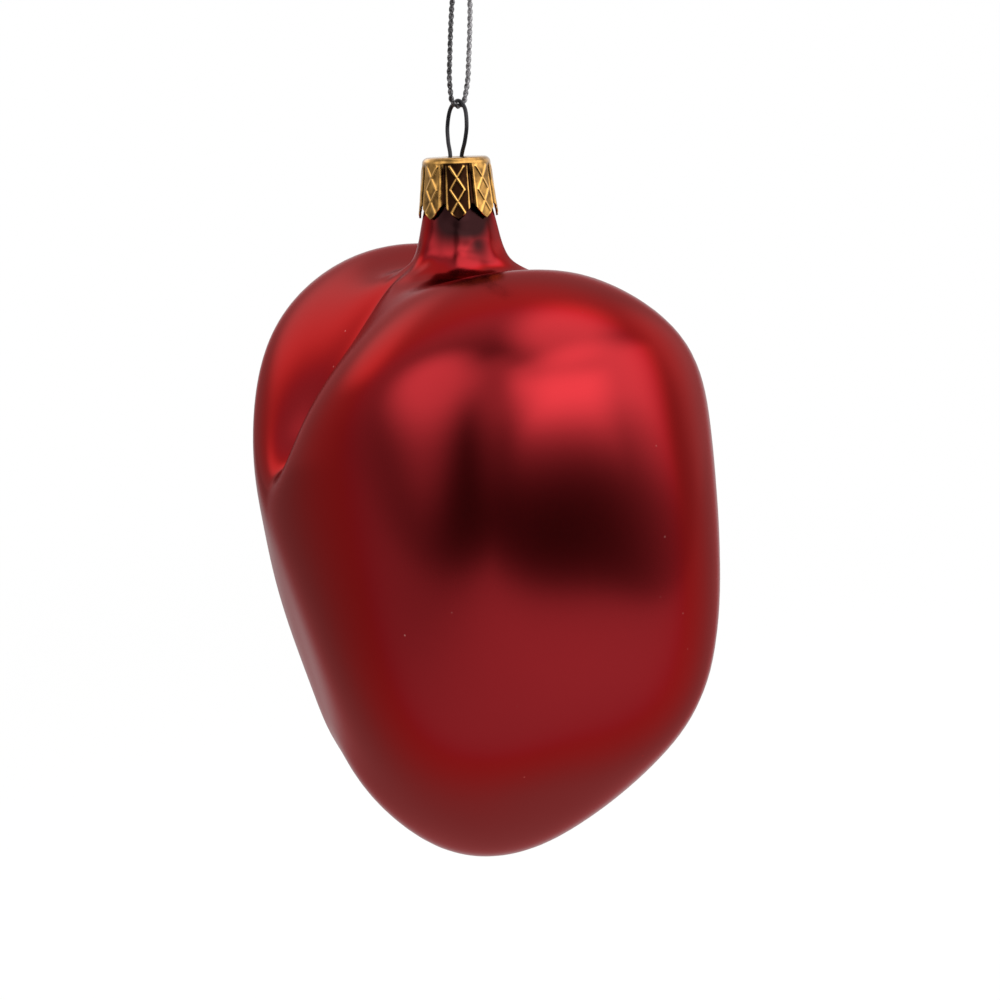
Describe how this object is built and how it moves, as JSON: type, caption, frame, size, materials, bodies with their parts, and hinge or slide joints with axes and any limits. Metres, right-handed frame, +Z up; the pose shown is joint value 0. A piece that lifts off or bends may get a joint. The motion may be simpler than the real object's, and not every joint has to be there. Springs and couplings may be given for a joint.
{
  "type": "glass heart ornament",
  "caption": "Blown-glass heart ornament in satin red lacquer, with a slim neck, a petalled gold cap, a sprung wire eye and a metallic hanging thread.",
  "frame": {"origin": "the hanging point, between the strands of the thread loop just under its knot", "axes": "+Z up along the heart's neck, +X out along one lobe, +Y through the heart's thickness, from its front to its back"},
  "size_m": [0.0996, 0.0629, 0.1425],
  "materials": {
    "red_lacquered_glass": "satin lacquer over silvered glass, opaque",
    "gilt_cap": "stamped, antique gold",
    "spring_wire": "drawn wire",
    "metallic_thread": "twisted metallic yarn"
  },
  "bodies": {
    "thread_loop": {"hanging_thread": "metallic_thread", "thread_knot": "metallic_thread"},
    "hanger": {"wire_hanger": "spring_wire"},
    "cap": {"cap": "gilt_cap"},
    "heart": {"glass_heart": "red_lacquered_glass"}
  },
  "joints": [
    {"name": "ornament_swing", "type": "hinge", "parent": "thread_loop", "child": "hanger", "pos_m": [0.00069, -0.00171, -0.0175], "axis": [0.9272, 0.3746, 0], "range_deg": [-60, 60]},
    {"name": "cap_lift", "type": "slide", "parent": "hanger", "child": "cap", "axis": [-0.0392, 0.0969, 0.9945], "range_m": [0, 0.005]},
    {"name": "heart_pull_off", "type": "slide", "parent": "hanger", "child": "heart", "axis": [0, 0, -1], "range_m": [0, 0.02]}
  ]
}
